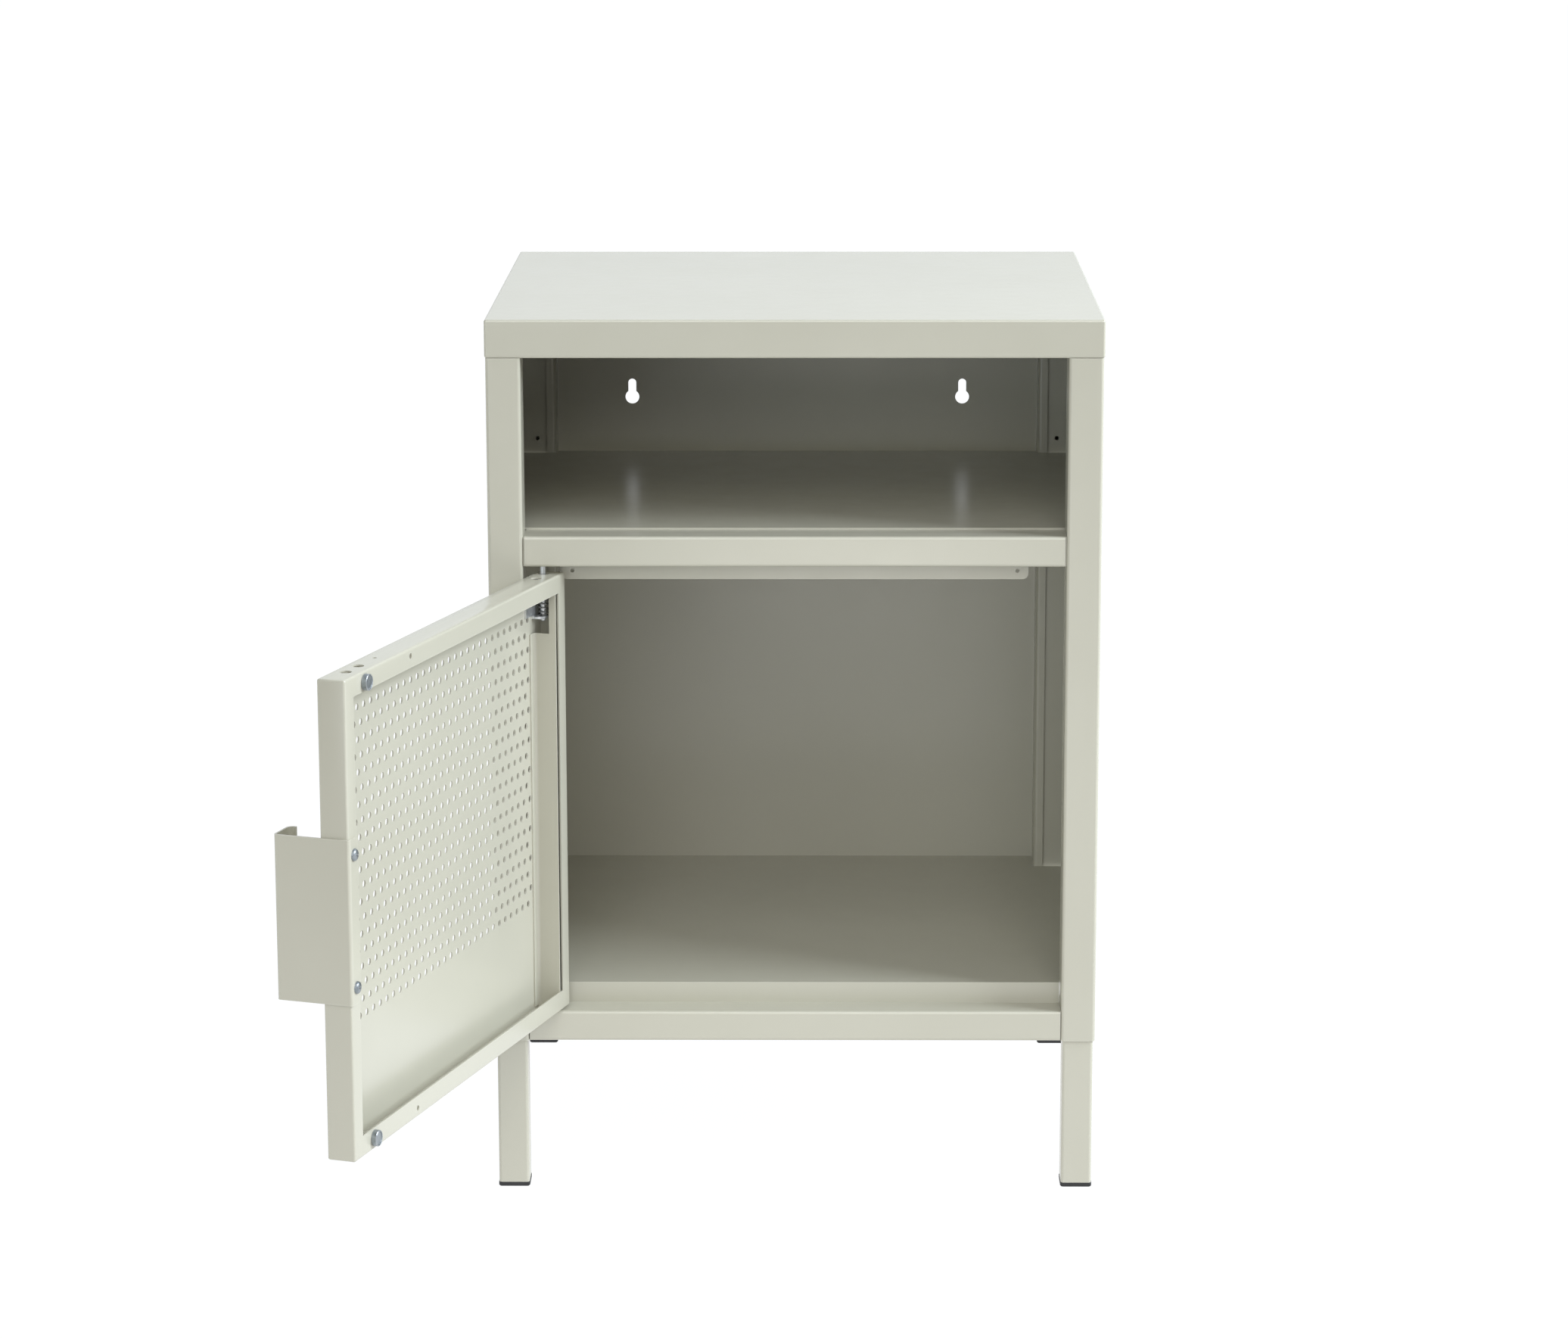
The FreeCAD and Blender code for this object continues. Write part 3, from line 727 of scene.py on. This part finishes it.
def nickel_plate():
    """Dull nickel of the magnets and screws: slate grey, fine turned grain, rims lighter, partly worn
    plating and partly a painted highlight.
    """
    finish, tree, shader, coords = new_finish("dull_nickel_plate")
    cloudy = spread(tree, noise(tree, coords, 300.0, 3.0), 0.0, 1.0)
    tone = blend_tones(tree, cloudy, *NICKEL_TONES)
    # Lighter rims: partly worn plating, partly a painted highlight.
    worn_and_highlit = edge_wear_and_highlight_mask(tree, 0.0005, 0.8)
    wire(tree, blend_tones(tree, worn_and_highlit, tone, NICKEL_EDGE_WEAR_AND_HIGHLIGHT_TONE), shader.inputs["Base Color"])
    shader.inputs["Metallic"].default_value = 0.7
    wire(tree, spread(tree, cloudy, *NICKEL_ROUGHNESS), shader.inputs["Roughness"])
    turned = noise(tree, coords, 1500.0, 3.0)
    wire(tree, bumps(tree, ((turned, 0.05, 0.00003),)), shader.inputs["Normal"])
    return finish


bm = bmesh.new()
lathe(bm, MAGNET_SECTION, LATHE_STEPS)
NICKEL = nickel_plate()
cup = new_piece("magnet_template", bm, NICKEL, TURNED_CRISP)
lower, upper = middle("door_magnet_bottom").z, middle("door_magnet_top").z
magnets = door_pair("cup_magnets", cup, (MAGNET_SIDE, DOOR_DEPTH, lower), upper - lower, NICKEL)
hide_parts("door_magnet_bottom", "door_magnet_top")

# ---------------------------------------------------------------------------------------------
# Handle: a folded sheet pull past the free edge, its front turned back and curled, screwed to
# the door's inner fold. It is coated like the door.
finish_nodes(COAT, "handle")

# ---------------------------------------------------------------------------------------------
# Handle screws: two M4 pan-head screws with a cross recess, plated dull nickel like the magnets,
# and their zinc-plated nuts behind the fold.
SCREW_SIDE = 0.3428
HANDLE_SHEET = 0.0012
HEAD_RADIUS = 0.0038
HEAD_HEIGHT = 0.0022
HEAD_SECTION = ((0.0, HEAD_HEIGHT), (0.0012, 0.00218), (0.0022, 0.00205), (0.0029, 0.0018),
                (0.0034, 0.0014), (0.0037, 0.0009), (HEAD_RADIUS, 0.0004), (HEAD_RADIUS, 0.0),
                (0.0020, 0.0), (0.0020, -0.0075), (0.0016, -0.0080), (0.0, -0.0080))
RECESS_WIDE = 0.0040
RECESS_NARROW = 0.0009
RECESS_DEPTH = 0.0014
CUTTER_TOP = 0.003
POINT_WIDE = 0.35
POINT_NARROW = 0.6
OFF_SQUARE = 0.01


def cross_cutter():
    """Tapered cross that cuts the recess."""
    bm = bmesh.new()
    for turn in (0, 90):
        rings = []
        for depth, share in ((CUTTER_TOP, 1.0), (HEAD_HEIGHT - RECESS_DEPTH, POINT_WIDE)):
            wide, narrow = RECESS_WIDE / 2 * share, RECESS_NARROW / 2 * max(share, POINT_NARROW)
            rings.append([(x, depth, z) for x, z in (
                (wide, -narrow), (wide, narrow), (-wide, narrow), (-wide, -narrow))])
        arm = bmesh.new()
        rows = loft(arm, rings)
        arm.faces.new(rows[0][::-1])
        arm.faces.new(rows[1])
        bmesh.ops.recalc_face_normals(arm, faces=arm.faces)
        arm.transform(Matrix.Rotation(radians(turn + OFF_SQUARE), 4, "Y"))
        loose = bpy.data.meshes.new("arm")
        arm.to_mesh(loose)
        arm.free()
        bm.from_mesh(loose)
    return new_piece("cross_cutter", bm, ZINC)


def pan_head_screw():
    """One screw along Y, its head's seat at depth 0."""
    bm = bmesh.new()
    lathe(bm, HEAD_SECTION, LATHE_STEPS)
    blank = new_piece("screw_blank", bm, ZINC, TURNED_CRISP)
    cutter = cross_cutter()
    recess = blank.modifiers.new("recess", "BOOLEAN")
    recess.operation = "DIFFERENCE"
    recess.solver = "EXACT"
    recess.use_self = True
    recess.object = cutter
    bm = bmesh.new()
    bm.from_object(blank, bpy.context.evaluated_depsgraph_get())
    bpy.data.objects.remove(blank)
    bpy.data.objects.remove(cutter)
    return new_piece("screw_template", bm, ZINC, TURNED_CRISP)


lowest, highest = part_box("handle_screws")
lower_screw = (SCREW_SIDE, DOOR_DEPTH + HANDLE_SHEET, lowest.z + HEAD_RADIUS)
gap = highest.z - lowest.z - 2 * HEAD_RADIUS
screws = door_pair("handle_pan_screws", pan_head_screw(), lower_screw, gap, NICKEL)
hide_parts("handle_screws")
finish_nodes(ZINC, "handle_nuts")

# ---------------------------------------------------------------------------------------------
# Studio: a pale floor that glows like a light table and dims towards the viewer, a cool white
# surround that is dark behind the viewer, and five softboxes, the strongest on the right.
FLOOR_HALF = 30.0
FLOOR_DIM_TO_BRIGHT = (-2.2, -0.45)
SURROUND_GLOW = (0.47, 0.98)
SURROUND_TURN = (-0.3, 0.7)
LIGHT_AIM = Vector((0.0, 0.0, 0.3))

floor_mesh = bpy.data.meshes.new("studio_floor")
bm = bmesh.new()
bmesh.ops.create_grid(bm, x_segments=1, y_segments=1, size=FLOOR_HALF)
bm.to_mesh(floor_mesh)
bm.free()
floor = bpy.data.objects.new("studio_floor", floor_mesh)
bpy.context.scene.collection.objects.link(floor)
pale, tree, shader, coords = new_finish("pale_floor")
shader.inputs["Base Color"].default_value = (0.04, 0.04, 0.04, 1)
shader.inputs["Roughness"].default_value = 0.9
shader.inputs["Specular IOR Level"].default_value = 0.0
shader.inputs["Emission Color"].default_value = (0.98, 0.99, 1.0, 1)
split = tree.nodes.new("ShaderNodeSeparateXYZ")
wire(tree, coords, split.inputs[0])
glow = spread(tree, split.outputs["Y"], 0.0, 1.0, *FLOOR_DIM_TO_BRIGHT)
wire(tree, glow, shader.inputs["Emission Strength"])
floor_mesh.materials.append(pale)

world = bpy.data.worlds.new("studio_surround")
world.use_nodes = True
tree = world.node_tree
direction = tree.nodes.new("ShaderNodeTexCoord").outputs["Generated"]
split = tree.nodes.new("ShaderNodeSeparateXYZ")
wire(tree, direction, split.inputs[0])
glow = spread(tree, split.outputs["Y"], *SURROUND_GLOW, *SURROUND_TURN)
wire(tree, glow, tree.nodes["Background"].inputs["Strength"])
tree.nodes["Background"].inputs["Color"].default_value = (0.94, 0.97, 1.0, 1)
bpy.context.scene.world = world


def soft_light(name, place, size, power, tint):
    """Square softbox aimed at the middle of the cabinet."""
    lamp = bpy.data.lights.new(name, "AREA")
    lamp.shape = "SQUARE"
    lamp.size = size
    lamp.energy = power
    lamp.color = tint
    made = bpy.data.objects.new(name, lamp)
    made.location = place
    made.rotation_euler = (LIGHT_AIM - Vector(place)).to_track_quat("-Z", "Y").to_euler()
    bpy.context.scene.collection.objects.link(made)


soft_light("side_softbox", (2.6, -0.5, 1.9), 1.5, 118.0, (0.86, 0.93, 1.0))
soft_light("high_softbox", (0.1, -2.1, 2.6), 1.6, 16.0, (1.0, 1.0, 1.0))
soft_light("front_softbox", (0.1, -3.0, 1.9), 1.6, 19.0, (1.0, 0.96, 0.90))
soft_light("left_softbox", (-1.3, -3.2, 0.5), 1.4, 16.5, (0.86, 0.94, 1.0))
soft_light("low_softbox", (0.1, -1.2, 0.16), 0.3, 0.8, (1.0, 0.98, 0.95))

# Camera: a long lens a little above the cabinet, nearly straight in front of it.
eye = bpy.data.cameras.new("front_view")
eye.lens = 102.675
eye.sensor_width = 36.0
eye.sensor_fit = "HORIZONTAL"
viewer = bpy.data.objects.new("front_view", eye)
viewer.location = (0.068466, -2.874317, 0.978538)
viewer.rotation_euler = (1.35577561, 0.00106168, 0.00763796)
bpy.context.scene.collection.objects.link(viewer)
bpy.context.scene.camera = viewer
bpy.context.scene.view_settings.view_transform = "Standard"
